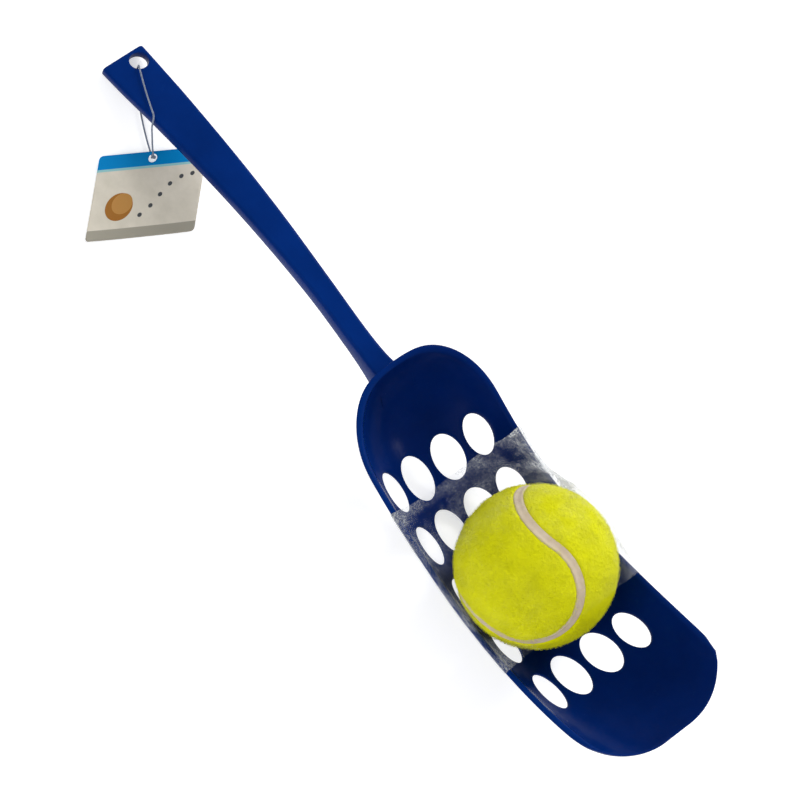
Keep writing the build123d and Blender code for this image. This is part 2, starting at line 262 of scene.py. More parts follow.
def unrolled(edge):
    """Wall laid out flat in mm: the floor line's length at the slope, and the side's angle as an arc."""
    return np.column_stack([np.interp(edge[0], SLOPES, FLOOR_RUN), TROUGH_R * edge[1]])


def scoop_face(out):
    """Points and triangles of the wall's inner or outer face: the edges, pulled back for their rounding, and
    the grid between them, triangulated on the unrolled wall."""
    loops = scoop_edges(out, EDGE_ROUND)
    inside = scoop_inside(out)
    faces = triangulated([unrolled(loop) for loop in loops], unrolled(inside))
    return np.concatenate([trough(*place, out) for place in loops + [inside]]), faces


def scoop_painted_shade(points, inner, outer):
    """Painted shade per point, by its place across the scoop: a darker copy of the blue in full on the inner
    face and half at its -Y side, none on the outer face, and on the edges rising from -Y to +Y, so the -Y
    side is painted lit and the +Y side painted in shade."""
    painted_shade = np.interp(points[:, 1], (-27.0, 24.0), (0.05, 0.9))
    painted_shade[:inner] = np.interp(points[:inner, 1], (-30.5, -8.0), (0.5, 1.0))
    painted_shade[inner : inner + outer] = 0.0
    return painted_shade


upper, upper_faces = scoop_face(0.0)
lower, lower_faces = scoop_face(WALL)
edges = [trough(*edge, WALL / 2) for edge in scoop_edges(WALL / 2, 0.0)]
points, faces = wall_between(upper, lower, edges, upper_faces, lower_faces, EDGE_ROWS)
# Painted shade over the scoop, kept per point for its material: darker inside, lighter towards -Y.
painted_shade = scoop_painted_shade(points, len(upper), len(lower))
scoop = new_piece("scoop_moulding", points + (X_SHIFT, 0, 0), faces, solid=True, painted_light_and_haze=painted_shade)


def mottle_group():
    """Node group of fractal noise: Scale sets its grain on the given coordinates, and its middle range is
    spread from Low to High."""
    group = bpy.data.node_groups.new("mottle", "ShaderNodeTree")
    group.interface.new_socket("Vector", in_out="INPUT", socket_type="NodeSocketVector")
    for name in ("Scale", "Low", "High"):
        group.interface.new_socket(name, in_out="INPUT", socket_type="NodeSocketFloat")
    group.interface.new_socket("Value", in_out="OUTPUT", socket_type="NodeSocketFloat")
    given = group.nodes.new("NodeGroupInput")
    noise = group.nodes.new("ShaderNodeTexNoise")
    noise.inputs["Detail"].default_value = 4.0
    noise.inputs["Roughness"].default_value = 0.6
    spread = group.nodes.new("ShaderNodeMapRange")
    spread.inputs["From Min"].default_value = 0.3
    spread.inputs["From Max"].default_value = 0.7
    result = group.nodes.new("NodeGroupOutput")
    group.links.new(given.outputs["Vector"], noise.inputs["Vector"])
    group.links.new(given.outputs["Scale"], noise.inputs["Scale"])
    group.links.new(noise.outputs["Fac"], spread.inputs["Value"])
    group.links.new(given.outputs["Low"], spread.inputs["To Min"])
    group.links.new(given.outputs["High"], spread.inputs["To Max"])
    group.links.new(spread.outputs["Result"], result.inputs["Value"])
    return group


MOTTLE = mottle_group()


def mottle(tree, scale, low, high):
    """The mottle group on Object coordinates, with this material's own values; gives its output."""
    place = tree.nodes.new("ShaderNodeTexCoord")
    grain = tree.nodes.new("ShaderNodeGroup")
    grain.node_tree = MOTTLE
    grain.inputs["Scale"].default_value = scale
    grain.inputs["Low"].default_value = low
    grain.inputs["High"].default_value = high
    tree.links.new(place.outputs["Object"], grain.inputs["Vector"])
    return grain.outputs["Value"]


def blended(tree, amount, first, second):
    """Colour mixed from first to second by amount; each is a colour or another node's output."""
    mix = tree.nodes.new("ShaderNodeMix")
    mix.data_type = "RGBA"
    tree.links.new(amount, mix.inputs[0])
    for socket, colour in ((mix.inputs[6], first), (mix.inputs[7], second)):
        if isinstance(colour, tuple):
            socket.default_value = (*colour, 1.0)
        else:
            tree.links.new(colour, socket)
    return mix.outputs[2]


def bumped(tree, height, strength, distance):
    """Normal of a Bump node driven by height."""
    bump = tree.nodes.new("ShaderNodeBump")
    bump.inputs["Strength"].default_value = strength
    bump.inputs["Distance"].default_value = distance
    tree.links.new(height, bump.inputs["Height"])
    return bump.outputs["Normal"]


def patchy(tree, grain, first, second):
    """Colour that wanders from first to second in patches of this grain."""
    return blended(tree, mottle(tree, grain, 0.0, 1.0), first, second)


def kept_painted_light_and_haze(tree):
    """Output that reads the value kept on the mesh per point: painted shade on the scoop, haze that is partly
    painted glare on the film.
    """
    node = tree.nodes.new("ShaderNodeAttribute")
    node.attribute_name = "painted_light_and_haze"
    return node.outputs["Fac"]


def new_material(name):
    """Material with its node tree and its Principled BSDF."""
    material = bpy.data.materials.new(name)
    material.use_nodes = True
    return material, material.node_tree, material.node_tree.nodes["Principled BSDF"]


def dressed(tree, shader, colour, rough, bump=None):
    """Links a colour, a mottled roughness of (grain, low, high) and a bump of (grain, strength, distance)."""
    tree.links.new(colour, shader.inputs["Base Color"])
    tree.links.new(mottle(tree, *rough), shader.inputs["Roughness"])
    if bump is not None:
        grain, strength, distance = bump
        normal = bumped(tree, mottle(tree, grain, 0.0, 1.0), strength, distance)
        tree.links.new(normal, shader.inputs["Normal"])


blue_plastic, tree, shader = new_material("blue_plastic")
shader.inputs["Specular IOR Level"].default_value = 0.022
shader.inputs["IOR"].default_value = 1.49
# The plastic's blue and a darker copy of it, which is painted shade, mixed by the value kept per point; the
# handle keeps none and takes the first.
bright = patchy(tree, 38.0, (0.0005, 0.0195, 0.142), (0.0009, 0.0255, 0.185))
painted_shade_blue = patchy(tree, 38.0, (0.0003, 0.0108, 0.092), (0.0006, 0.0145, 0.122))
blue = blended(tree, kept_painted_light_and_haze(tree), bright, painted_shade_blue)
dressed(tree, shader, blue, (160.0, 0.15, 0.28), (420.0, 0.12, 0.0003))
scoop.data.materials.append(blue_plastic)
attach(scoop, "launcher")
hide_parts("scoop")

# Handle. The same moulding: a tapered, curved bar that is cored out from below between cross ribs and runs
# into the scoop's back wall in a small fillet. Its flat end has a round hanging hole.
HANDLE_BACK = np.array([167.5, 154, 136, 104, 74, 42, 18, 6, -4, -16.0])
HANDLE_SIZES = np.array(
    [
        (2.6, 19.8, 5.2),
        (6.6, 19.2, 5.2),
        (12.4, 17.6, 5.5),
        (20.6, 14.6, 6.4),
        (25.6, 12.0, 7.2),
        (27.6, 9.5, 8.0),
        (26.8, 8.9, 8.8),
        (26.6, 9.2, 10.8),
        (27.2, 10.6, 14.0),
        (28.0, 12.0, 17.0),
    ]
)
HANDLE_X = BACK_X - HANDLE_BACK
HANDLE_EDGE_R = 1.2
HANDLE_END_R = 1.0
END_ROUND = 0.7
END_ROWS = 6
FLAT_POINTS = 17
CORNER_TURN = np.radians([22.5, 45, 67.5, 90])
CORE_WALL = 2.0
CORE_ROUND = 0.4
CORE_STEP = 0.3
CORE_START = BACK_X - 126.0
CORE_END = BACK_X - 20.0
CORE_ROOMS = 5
CORE_RIB = 1.8
NECK_FILLET = 3.2
HOLE_X = BACK_X - 162.0
HOLE_Y = 4.2
HOLE_R = 3.9
HOLE_ROUND = 0.35
HOLE_CELL = 0.94
HOLE_CELLS = np.arange(-5, 6)
HOLE_COLUMNS = np.arange(6, 17)


def handle_at(x):
    """Middle height, width and depth over x: cubic Hermite pieces through the stations, whose slopes are
    taken from the stations on either side."""
    slope = np.empty_like(HANDLE_SIZES)
    slope[1:-1] = (HANDLE_SIZES[2:] - HANDLE_SIZES[:-2]) / (HANDLE_X[2:] - HANDLE_X[:-2])[:, None]
    slope[0] = (HANDLE_SIZES[1] - HANDLE_SIZES[0]) / (HANDLE_X[1] - HANDLE_X[0])
    slope[-1] = (HANDLE_SIZES[-1] - HANDLE_SIZES[-2]) / (HANDLE_X[-1] - HANDLE_X[-2])
    first = np.clip(np.searchsorted(HANDLE_X, x) - 1, 0, len(HANDLE_X) - 2)
    step = (HANDLE_X[first + 1] - HANDLE_X[first])[..., None]
    part = (x - HANDLE_X[first])[..., None] / step
    start = HANDLE_SIZES[first]
    rise = HANDLE_SIZES[first + 1] - start
    bend = (1 - part) * (slope[first] * step - rise) + part * (rise - slope[first + 1] * step)
    return np.moveaxis(start + part * rise + part * (1 - part) * bend, -1, 0)


def core_rooms():
    """Start and end of each hollow under the handle, half a rib in from its share of the core."""
    ends = np.linspace(CORE_START, CORE_END, CORE_ROOMS + 1)
    low = ends[:-1] + CORE_RIB / 2
    high = ends[1:] - CORE_RIB / 2
    low[0] = CORE_START
    high[-1] = CORE_END
    return low, high


def back_wall_x(y, z, out):
    """x of the back wall at y and z: the floor line's x at a height lowered by the arc's rise at y."""
    slope = np.linspace(-BACK_TURN, -HEEL_END, 300)
    x, floor = floor_line(slope, out)
    radius = trough_radius(floor_line(slope, 0.0)[0]) + out
    lowered = z - y * y / (2 * np.interp(z, floor, radius))
    return np.interp(lowered, floor, x)


def handle_skin(x):
    """Points of the handle's skin, one section to a row: a rounded rectangle whose underside steps up into
    the hollow. Near the end the section closes in a round, near the scoop it flares and stops in its wall."""
    z, width, depth = handle_at(x)
    inward = np.clip(END_ROUND - (x - HANDLE_X[0]), 0, END_ROUND)
    depth = depth - 2 * (END_ROUND - np.sqrt(END_ROUND**2 - inward**2))
    inward = np.clip(HANDLE_END_R - (x - HANDLE_X[0]), 0, HANDLE_END_R)
    width = width - 2 * (HANDLE_END_R - np.sqrt(HANDLE_END_R**2 - inward**2))
    round_r = np.minimum(HANDLE_EDGE_R, depth / 2 - 0.1)[:, None]
    half = width[:, None] / 2 - round_r
    top = depth[:, None] / 2
    upper_y = half * np.linspace(-1, 1, FLAT_POINTS)
    upper_z = np.repeat(top, FLAT_POINTS, 1)
    lower_turn = CORNER_TURN - CORNER_TURN[0]
    corner_y = half + round_r * np.hstack([np.sin(CORNER_TURN), np.cos(lower_turn)])
    corner_z = np.hstack(
        [top - round_r + round_r * np.cos(CORNER_TURN), -top + round_r - round_r * np.sin(lower_turn)]
    )
    room = width[:, None] / 2 - CORE_WALL
    ceiling = top - CORE_WALL
    side_y = room * np.ones(4)
    side_z = -top + (ceiling - CORE_ROUND + top) * np.array([0.0, 0.04, 0.5, 1.0])
    shares = np.array([1, 0.67, 0.33, 0, -0.33, -0.67, -1])
    hollow_y = np.hstack([half, side_y, (room - CORE_ROUND) * shares, -side_y, -half])
    hollow_z = np.hstack([-top, side_z, np.repeat(ceiling, len(shares), 1), side_z[:, ::-1], -top])
    opened = np.zeros(len(x))
    for low, high in zip(*core_rooms()):
        opened = np.maximum(opened, np.clip(np.minimum(x - low, high - x) / CORE_STEP, 0, 1))
    lower_y = upper_y[:, ::-1] + opened[:, None] * (hollow_y - upper_y[:, ::-1])
    lower_z = -upper_z + opened[:, None] * (hollow_z + upper_z)
    y = np.hstack([upper_y, corner_y, lower_y, -corner_y[:, ::-1]])
    z = z[:, None] + np.hstack([upper_z, corner_z, lower_z, corner_z[:, ::-1]])
    near = np.clip(NECK_FILLET - (back_wall_x(y, z, WALL) - x[:, None]), 0, NECK_FILLET)
    flare = NECK_FILLET - np.sqrt(NECK_FILLET**2 - near**2)
    lift = z - handle_at(x)[0][:, None]
    away = np.hypot(y, lift)
    y = y + flare * y / away
    z = z + flare * lift / away
    return np.stack([np.minimum(x[:, None], back_wall_x(y, z, WALL / 2)), y, z], -1)


def handle_rows():
    """Places of the sections: close together round the end, over the hole and at each rib's faces."""
    rows = [HANDLE_X[0] + END_ROUND * (1 - np.cos(np.linspace(0, np.pi / 2, END_ROWS)))]
    rows.append(HOLE_X + HOLE_CELL * HOLE_CELLS)
    rows.append(np.linspace(HOLE_X + HOLE_CELL * 6, CORE_START - 1.0, 20))
    for low, high in zip(*core_rooms()):
        inside = np.linspace(low + 1.2, high - 1.2, 12)
        rows.append(np.hstack([low, low + CORE_STEP, inside, high - CORE_STEP, high]))
    rows.append(np.linspace(CORE_END + 1, HANDLE_X[-1], 56))
    return np.concatenate(rows)


def hole_ring(ids, columns):
    """Point numbers once round the hole's patch, and those of the whole patch: the rows over the hole, in
    these columns of the upper face or of the lower one."""
    patch = ids[np.ix_(END_ROWS + np.arange(len(HOLE_CELLS)), columns)]
    return np.concatenate([patch[0], patch[1:, -1], patch[-1, -2::-1], patch[-2:0:-1, 0]]), patch


def make_handle():
    """Points and faces of the whole bar: the skin without the hole's two patches, a cap over its end, and the
    hole's rings, which close in on its circle, round its edges by sine and cosine and join both patches."""
    grid = handle_skin(handle_rows())
    count = grid.shape[1]
    ids = numbered(*grid.shape[:2])
    ring, patch = hole_ring(ids, HOLE_COLUMNS)
    last_lower = 2 * FLAT_POINTS + 2 * len(CORNER_TURN) - 1
    lower_ring, lower_patch = hole_ring(ids, last_lower - HOLE_COLUMNS)
    dropped = np.zeros(ids.size, bool)
    dropped[patch[:-1, :-1]] = True
    dropped[lower_patch[:-1, 1:]] = True
    faces = quads_of(ids, closed=True)
    faces = [faces[~dropped[faces[:, 0]]]]
    flat = grid.reshape(-1, 3)
    cap = grid[0].copy()
    cap[:, 2] = handle_at(cap[:1, 0])[0]
    faces.append(quads_of(np.vstack([len(flat) + np.arange(count), ids[0]]), closed=True))
    angle = np.arctan2(flat[ring, 1] - HOLE_Y, flat[ring, 0] - HOLE_X)
    bends = np.radians([0, 30, 60, 90])
    shrink = HOLE_ROUND * (1 - np.sin(bends))
    drop = HOLE_ROUND * (1 - np.cos(bends))
    reach = HOLE_R + np.concatenate([shrink, drop])[:, None]
    sunk = np.concatenate([drop, shrink])[:, None]
    x = HOLE_X + reach * np.cos(angle)
    y = HOLE_Y + reach * np.sin(angle)
    height, _, depth = handle_at(x)
    side = np.repeat([1, -1], len(bends))[:, None]
    bore = np.stack([x, y, height + side * (depth / 2 - sunk)], -1)
    steps = np.array([0.35, 0.7])[:, None, None]
    above = flat[ring] + steps * (bore[0] - flat[ring])
    below = flat[lower_ring] + steps[::-1] * (bore[-1] - flat[lower_ring])
    rings = np.concatenate([above, bore, below])
    ids = np.vstack([ring, numbered(*rings.shape[:2], len(flat) + count), lower_ring])
    faces.append(quads_of(ids, closed=True))
    return np.concatenate([flat, cap, rings.reshape(-1, 3)]), faces


points, faces = make_handle()
handle = new_piece("handle_moulding", points + (X_SHIFT, 0, 0), faces, solid=True)
handle.data.materials.append(blue_plastic)
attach(handle, "launcher")
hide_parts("handle")

# Ball. Two rubber half shells, cemented together, carry two dog-bone panels of napped felt. The panels are
# glued on edge to edge and the seam between them is filled with rubber, which sits a little lower.
BALL_R = 32.0
BALL_SEAT = np.array([10.0, 0.0, 35.122])
BALL_MIDDLE = BALL_SEAT + (X_SHIFT, 0, 0)
BALL_TURN = np.array(Euler(np.radians([-92.7, -45.1, 110.7]), "XYZ").to_matrix())
FELT_EDGE = 1.6
FELT_STEP = 0.62
FELT_SUNK = 0.3
FELT_ROLL = 2.2
FELT_DROP = 1.5
FIBRE_ROOTS = 31500
FIBRE_LENGTH = (0.9, 2.3)
FIBRE_LIFT = (0.1, 0.75)
FIBRE_CURL = 0.35
FIBRE_HALF = 0.055
SEAM_POINTS = 640
SEAM_HALF = 2.3
SEAM_SUNK = 0.75
SEAM_GROOVE = 0.12
SEAM_LINES = 13
SEAM_TUCK = 1.3
TUCK_FROM = 1.75


def ball_place(points):
    """From the ball's own frame, where the seam crosses the equator at 45 degrees, to the launcher's."""
    return points @ BALL_TURN.T + BALL_MIDDLE


def seam_side(points):
    """Distance from the seam over the ball, positive on the first panel: by the angle to the planes across X
    in the upper half, and to those across Y in the lower half."""
    away = np.linalg.norm(points, axis=-1)
    over_x = np.pi / 4 - np.arcsin(np.clip(np.abs(points[..., 0]) / away, 0, 1))
    over_y = np.arcsin(np.clip(np.abs(points[..., 1]) / away, 0, 1)) - np.pi / 4
    return BALL_R * np.where(points[..., 2] >= 0, over_x, over_y)


def seam_loop(offset):
    """Closed line at this distance from the seam: four half circles, by turns across X and across Y."""
    turn = np.linspace(0, np.pi, SEAM_POINTS // 4, endpoint=False)
    near = np.sin(np.pi / 4 - offset / BALL_R)
    far = np.sin(np.pi / 4 + offset / BALL_R)
    flat = np.ones_like(turn)
    one = np.stack([near * flat, far * np.cos(turn), far * np.sin(turn)], -1)
    two = np.stack([near * np.cos(turn), -far * flat, -near * np.sin(turn)], -1)
    return BALL_R * np.concatenate([one, two, one * (-1, -1, 1), two * (-1, -1, 1)])


def even_points(count):
    """Points spread evenly over the ball: equal steps of height, each turned on by the golden angle."""
    step = np.arange(count)
    z = 1 - (2 * step + 1) / count
    turn = step * np.pi * (3 - np.sqrt(5))
    flat = np.sqrt(1 - z * z)
    return BALL_R * np.stack([flat * np.cos(turn), flat * np.sin(turn), z], -1)


def waves(points, length, count, seed):
    """Smooth noise between about -1 and 1: the sum of count plane waves of about this length in mm, each
    with its own direction and phase, over the root of count."""
    chance = np.random.default_rng(seed)
    heading = chance.normal(size=(3, count))
    heading /= np.linalg.norm(heading, axis=0)
    pace = 2 * np.pi / (length * chance.uniform(0.7, 1.4, count))
    phase = chance.uniform(0, 2 * np.pi, count)
    return np.sin(points @ (heading * pace) + phase).sum(-1) / np.sqrt(count)


def felt_height(points, seed):
    """Radius of the felt: worn lumps and nap on the ball's radius, rolled down to the seam in a round."""
    lumps = 0.16 * waves(points, 9.0, 24, seed) + 0.07 * waves(points, 2.4, 40, seed + 1)
    rise = np.clip((np.abs(seam_side(points)) - FELT_EDGE) / FELT_ROLL, 0, 1)
    rolled = 1 - np.sqrt(1 - (1 - rise) ** 2)
    return BALL_R - FELT_SUNK + np.clip(lumps, -0.4, 0.35) - FELT_DROP * rolled


def flattened(points):
    """Plane map about the panel's middle: the angle from it as radius, in the same direction."""
    flat = np.maximum(np.linalg.norm(points[:, :2], axis=1), 1e-9)
    return points[:, :2] * (np.arctan2(flat, points[:, 2]) / flat)[:, None]


def panel_mesh(seed):
    """One dog-bone panel in the frame of the first: evenly spread points inside its edge, triangulated."""
    spread = even_points(int(4 * np.pi * BALL_R**2 / FELT_STEP**2))
    spread = spread[seam_side(spread) > FELT_EDGE + 0.45]
    edge = seam_loop(FELT_EDGE)
    faces = triangulated([flattened(edge)], flattened(spread))
    points = np.concatenate([edge, spread])
    return points * (felt_height(points, seed) / BALL_R)[:, None], faces


def fibre_mesh(seed):
    """Loose felt fibres: tapered ribbons of five points that leave the felt nearly flat, along a heading
    that swirls with the noise, and end in a tip."""
    chance = np.random.default_rng(seed)
    root = even_points(FIBRE_ROOTS)
    root = root + chance.normal(scale=0.3, size=root.shape)
    root = root[seam_side(root) > FELT_EDGE + 0.2]
    up = root / np.linalg.norm(root, axis=1)[:, None]
    root = up * felt_height(root, seed)[:, None]
    heading = np.stack([waves(root, 11.0, 12, seed + 5 + k) for k in range(3)], -1)
    heading = heading + 0.9 * chance.normal(size=root.shape)
    heading -= up * (heading * up).sum(1)[:, None]
    heading /= np.linalg.norm(heading, axis=1)[:, None]
    aside = np.cross(up, heading)
    length = chance.uniform(*FIBRE_LENGTH, len(root))[:, None]
    lift = chance.uniform(*FIBRE_LIFT, len(root))[:, None]
    curl = chance.normal(scale=FIBRE_CURL, size=len(root))[:, None]
    low = root - up * 0.15
    middle = root + heading * length * 0.5 + up * lift + aside * curl * 0.3
    tip = root + heading * length + up * lift * 0.8 + aside * curl
    wide = aside * FIBRE_HALF
    narrow = aside * FIBRE_HALF * 0.8
    points = np.stack([low - wide, low + wide, middle + narrow, middle - narrow, tip], 1)
    first = 5 * np.arange(len(root))[:, None]
    return points.reshape(-1, 3), [first + np.array([0, 1, 2, 3]), first + np.array([3, 2, 4])]


def seam_mesh():
    """Band of rubber along the seam: lines side by side, sunk below the ball's radius, with a shallow groove
    by a cosine across it and both borders tucked under the felt."""
    across = np.linspace(-SEAM_HALF, SEAM_HALF, SEAM_LINES)
    tucked = np.clip((np.abs(across) - TUCK_FROM) / (SEAM_HALF - TUCK_FROM), 0, 1) ** 2
    radius = BALL_R - SEAM_SUNK - SEAM_GROOVE * np.cos(across * 2.2) - SEAM_TUCK * tucked
    loops = np.stack([seam_loop(offset) for offset in across])
    loops = loops * (radius[:, None] + 0.05 * waves(loops, 5.0, 20, 71))[..., None] / BALL_R
    return loops.reshape(-1, 3), [quads_of(numbered(*loops.shape[:2]), closed=True)]


felt, tree, shader = new_material("ball_felt")
shader.inputs["Specular IOR Level"].default_value = 0.02
shader.inputs["Sheen Weight"].default_value = 0.12
shader.inputs["Sheen Roughness"].default_value = 0.5
shader.inputs["Sheen Tint"].default_value = (1.0, 1.0, 0.2, 1.0)
worn = patchy(tree, 95.0, (0.75, 0.745, 0.001), (0.86, 0.85, 0.002))
yarn = blended(tree, mottle(tree, 1500.0, 0.0, 0.5), worn, (0.90, 0.89, 0.008))
dressed(tree, shader, yarn, (300.0, 0.78, 0.97), (800.0, 0.6, 0.0009))

OTHER_PANEL = np.array([[0, 1, 0], [1, 0, 0], [0, 0, -1.0]])
for panel, own, seed in (("ball_felt_a", np.eye(3), 11), ("ball_felt_b", OTHER_PANEL, 37)):
    points, faces = panel_mesh(seed)
    felt_piece = new_piece(panel.replace("felt", "nap"), ball_place(points @ own.T), [faces], solid=False)
    points, faces = fibre_mesh(seed + 2)
    fibres = new_piece(panel.replace("felt", "fibres"), ball_place(points @ own.T), faces, solid=False)
    for piece in (felt_piece, fibres):
        piece.data.materials.append(felt)
        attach(piece, "ball")
        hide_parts(panel)

points, faces = seam_mesh()
seam = new_piece("ball_seam_band", ball_place(points), faces, solid=False)
seam_rubber, tree, shader = new_material("seam_rubber")
pale = patchy(tree, 210.0, (0.58, 0.45, 0.31), (0.70, 0.58, 0.44))
dressed(tree, shader, pale, (500.0, 0.55, 0.75), (900.0, 0.3, 0.0004))
seam.data.materials.append(seam_rubber)
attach(seam, "ball")
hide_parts("ball_seam")

core_rubber, tree, shader = new_material("core_rubber")
dark = patchy(tree, 120.0, (0.03, 0.03, 0.03), (0.06, 0.058, 0.055))
dressed(tree, shader, dark, (260.0, 0.6, 0.8))
for node in ("ball_core_top", "ball_core_bottom"):
    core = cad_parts[node]
    core.data.materials.clear()
    core.data.materials.append(core_rubber)

# Film. Clear shrink film, about 0.05 mm thick, drawn over the ball and down outside both rims. It is tight
# on the ball, creased where it runs from the ball to the rims, and a little hazy from scuffs; its haze is
# heavier towards the back and by the right rim, partly from loose film and partly as painted glare.
FILM_FROM = -39.0
FILM_TO = 36.0
FILM_SKIRT = 6.0
FILM_OFF = 0.55
FILM_BACK_RISE = 4.0
FILM_ARC = 0.86
FILM_ROWS = 141
FILM_COLUMNS = 221
HAZE_LEAST = 0.008
HAZE_MOST = 0.7
SLANT_HAZE = 0.26


def film_crest(x):
    """Height of the film over the middle: a straight line from its back edge that touches the ball's round,
    grown by the film's clearance, and from there that round."""
    reach = BALL_R + FILM_OFF
    middle_x, _, middle_z = BALL_SEAT
    back_z = rim_height(np.array(FILM_FROM)) + FILM_BACK_RISE
    away = np.hypot(middle_x - FILM_FROM, middle_z - back_z)
    rise = np.arcsin((middle_z - back_z) / away) + np.arcsin(reach / away)
    touch = FILM_FROM + np.sqrt(away**2 - reach**2) * np.cos(rise)
    round_z = middle_z + np.sqrt(np.clip(reach**2 - (x - middle_x) ** 2, 0, None))
    return np.where(x <= touch, back_z + (x - FILM_FROM) * np.tan(rise), round_z)


def wall_half_width(x, z):
    """Outer half width of the scoop over x at height z, from the round of its section."""
    radius = trough_radius(x) + WALL
    floor_r = np.where(x >= 0, FLOOR_R, BACK_R)
    floor = WALL + floor_r - np.sqrt((floor_r + WALL) ** 2 - x * x)
    return np.sqrt(radius**2 - (floor + radius - z) ** 2)


def film_grid():
    """x of the film's points and their share from -1 to 1 across it: a plain grid whose back rows wave by a
    sine, as a cut edge does, and whose front rows hardly do."""
    along = np.linspace(FILM_FROM, FILM_TO, FILM_ROWS)
    x, across = np.meshgrid(along, np.linspace(-1, 1, FILM_COLUMNS), indexing="ij")
    near_end = np.clip((np.abs(x - 1.5) - 34) / 3.5, 0, 1)
    return x + 0.5 * np.sin(5 * across + 0.4) * np.sign(x) * near_end, across


def film_skin(x, across):
    """Film by x and a share from -1 to 1 across it: up one skirt, over the arc through both rims and the
    crest, and down the other skirt, close to the wall. It is drawn in to the ball and lifted in creases."""
    rim = rim_height(x)
    side = wall_half_width(x, rim) + FILM_OFF
    low = rim + FILM_OFF
    rise = film_crest(x) - low
    radius = (side**2 + rise**2) / (2 * rise)
    span = np.arctan2(side, radius - rise)
    span = np.where(rise > radius, np.pi - np.arctan2(side, rise - radius), span)
    arc = np.clip(across / FILM_ARC, -1, 1)
    skirt = np.clip((np.abs(across) - FILM_ARC) / (1 - FILM_ARC), 0, 1)
    turn = span * arc
    tucked = wall_half_width(x, rim - skirt * FILM_SKIRT) - wall_half_width(x, rim)
    y = radius * np.sin(turn) + np.sign(across) * tucked
    z = low + rise - radius * (1 - np.cos(turn)) - skirt * FILM_SKIRT
    point = np.stack([x, y, z], -1)
    from_ball = point - BALL_SEAT
    away = np.linalg.norm(from_ball, axis=-1)
    spare = np.clip(away - BALL_R - FILM_OFF, 0, 2.5) * np.clip((1 - np.abs(arc)) / 0.25, 0, 1)
    between = np.sin(np.pi * np.abs(arc)) ** 2
    crease = np.abs(np.sin(0.42 * x + 1.7 * np.sin(3 * arc + 0.05 * x))) ** 3
    fine = waves(point, 7.0, 20, 5)
    lift = between * (0.5 * crease + 0.18 * fine) * np.clip(spare, 0, 1)
    lift = lift + 0.22 * skirt * waves(point, 9.0, 16, 9)
    return point + from_ball / away[..., None] * (lift - 0.5 * spare)[..., None]


def film_slack_and_glare(x, across, skin):
    """How loose and so how hazy the film is, the haze partly painted glare: a little all over, more to the
    back, off the ball, at both rims and along the back edge, and most in a bell about one place by the right
    rim, where it bunches up."""
    off_ball = np.linalg.norm(skin - BALL_SEAT, axis=-1) - BALL_R - 1.0
    backward = np.clip((12.0 - x + 0.6 * skin[..., 1]) / 50, 0, 1)
    slack_and_glare = 0.04 + 0.4 * backward + 0.3 * np.clip(off_ball / 5, 0, 1)
    slack_and_glare = slack_and_glare + 0.9 * np.clip((np.abs(across) - 0.68) / 0.12, 0, 1)
    slack_and_glare = slack_and_glare + 0.45 * np.clip(1 - (x - FILM_FROM) / 7, 0, 1)
    bunched = np.exp(-(((x + 14) / 13) ** 2)) * np.clip((across - 0.35) / 0.3, 0, 1)
    return slack_and_glare + 2.4 * bunched * np.clip(off_ball / 3, 0, 1)


x, across = film_grid()
skin = film_skin(x, across)
film = new_piece(
    "film_wrap",
    skin.reshape(-1, 3) + (X_SHIFT, 0, 0),
    [quads_of(numbered(*x.shape), closed=False)],
    solid=False,
    painted_light_and_haze=film_slack_and_glare(x, across, skin),
)


def reckoned(tree, first, operation, second):
    """Output of a Math node on two values, each a number or another node's output."""
    node = tree.nodes.new("ShaderNodeMath")
    node.operation = operation
    for socket, value in zip(node.inputs, (first, second)):
        if isinstance(value, (int, float)):
            socket.default_value = value
        else:
            tree.links.new(value, socket)
    return node.outputs["Value"]


clear_film, tree, shader = new_material("clear_film")
shader.inputs["IOR"].default_value = 1.5
shader.inputs["Specular IOR Level"].default_value = 0.7
haze = patchy(tree, 140.0, (0.42, 0.44, 0.45), (0.80, 0.82, 0.80))
dressed(tree, shader, haze, (300.0, 0.12, 0.3), (260.0, 0.35, 0.0008))
# Cover of the haze: mottled patches times the value kept per point, which is partly painted glare.
patches = reckoned(tree, mottle(tree, 85.0, -0.1, 0.38), "MULTIPLY", mottle(tree, 1000.0, 0.1, 1.5))
cover = reckoned(tree, reckoned(tree, patches, "MAXIMUM", 0.0), "MULTIPLY", kept_painted_light_and_haze(tree))
weight = tree.nodes.new("ShaderNodeLayerWeight")
slant = reckoned(tree, reckoned(tree, weight.outputs["Facing"], "POWER", 4.0), "MULTIPLY", SLANT_HAZE)
cover = reckoned(tree, reckoned(tree, cover, "ADD", slant), "ADD", HAZE_LEAST)
cover = reckoned(tree, cover, "MINIMUM", HAZE_MOST)
tree.links.new(cover, shader.inputs["Alpha"])
film.data.materials.append(clear_film)
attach(film, "film")
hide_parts("film")

# Hang tag. Coated card of 0.5 mm, die cut to a leaning four-sided shape with a punched hole. Printed with a
# blue band at its head and a plain bouncing disc below it; a band of darker warm grey runs along its foot.
TAG_W = 44.2
TAG_H = 34.7
TAG_T = 0.5
TAG_CORNER_R = 1.5
TAG_LEAN = np.tan(np.radians(18.2))
TAG_TURN = np.radians(62.8)
TAG_TILT = np.radians(2.6428)
TAG_FOOT = np.array([-188.979 + X_SHIFT, -38.1, 0.05])
TAG_ACROSS = np.array([np.cos(TAG_TURN), np.sin(TAG_TURN), 0.0])
TAG_UP = np.array([-np.sin(TAG_TURN), np.cos(TAG_TURN), np.tan(TAG_TILT)]) * np.cos(TAG_TILT)
TAG_FACE = np.cross(TAG_ACROSS, TAG_UP)
TAG_HOLE = np.array([0.0, 31.9])
TAG_HOLE_R = 1.75
CARD_ROUND = 0.12
CARD_STEP = 1.1
SIDE_POINTS = 24
HEAD_FROM = 28.9
TRIM_AT = 28.4
